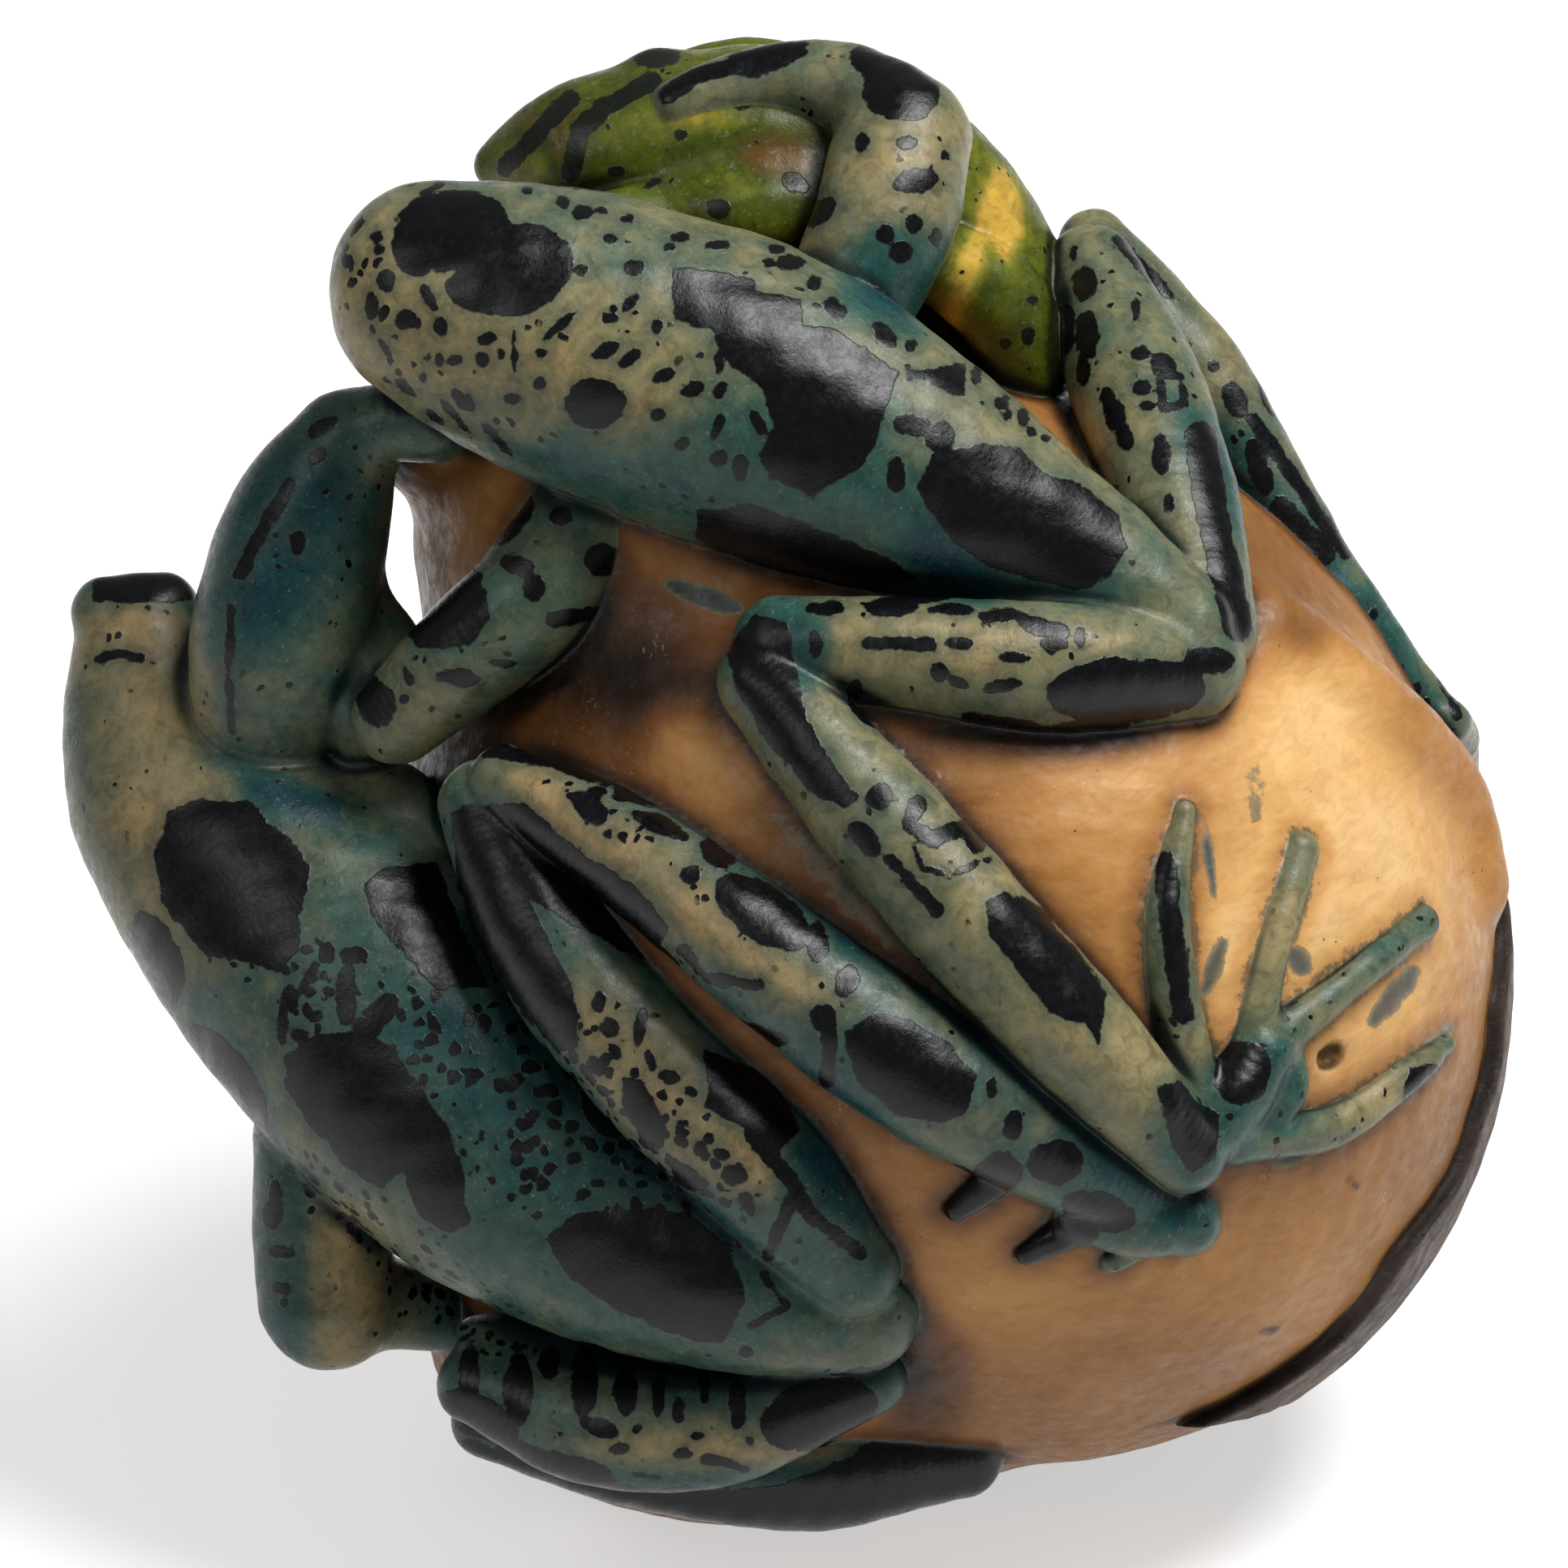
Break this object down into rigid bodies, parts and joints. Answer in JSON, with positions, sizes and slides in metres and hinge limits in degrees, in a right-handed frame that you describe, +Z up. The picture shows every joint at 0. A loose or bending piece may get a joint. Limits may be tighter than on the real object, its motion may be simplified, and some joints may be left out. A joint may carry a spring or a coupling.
{
  "type": "frog figurine",
  "caption": "Carved tagua nut ornament: spotted dart frogs climb around one polished vegetable-ivory kernel, which stands on a small flat face underneath.",
  "frame": {"origin": "middle of the flat face that the carving stands on", "axes": "+Z up, -Y towards the viewer of the pictured side, +X to that viewer's right"},
  "size_m": [0.0484, 0.0394, 0.0481],
  "materials": {
    "ivory": "polished vegetable ivory, amber to cream",
    "coat": "dull grey-brown seed coat",
    "teal_skin": "glossy dyed vegetable ivory, teal with black spots",
    "blue_skin": "glossy dyed vegetable ivory, blue-grey with black spots",
    "green_skin": "glossy dyed vegetable ivory, yellow-green with dark dots"
  },
  "bodies": {
    "root": {"nut_kernel": "ivory", "seed_coat": "coat", "upper_frog_torso": "teal_skin", "upper_frog_left_thigh": "teal_skin", "upper_frog_right_thigh": "teal_skin", "upper_frog_left_shank": "teal_skin", "upper_frog_right_shank": "teal_skin", "upper_frog_right_arm": "teal_skin", "upper_frog_left_arm": "teal_skin", "upper_frog_left_foot": "teal_skin", "upper_frog_right_foot": "teal_skin", "lower_frog_torso": "blue_skin", "lower_frog_right_thigh": "blue_skin", "lower_frog_left_thigh": "blue_skin", "lower_frog_right_shank": "blue_skin", "lower_frog_left_shank": "blue_skin", "lower_frog_right_arm": "blue_skin", "lower_frog_left_arm": "blue_skin", "lower_frog_right_foot": "blue_skin", "lower_frog_left_foot": "blue_skin", "green_frog_torso": "green_skin", "green_frog_right_thigh": "green_skin", "green_frog_left_thigh": "green_skin", "green_frog_right_shank": "green_skin", "green_frog_right_arm": "green_skin", "green_frog_left_arm": "green_skin", "green_frog_right_foot": "green_skin"}
  },
  "joints": []
}
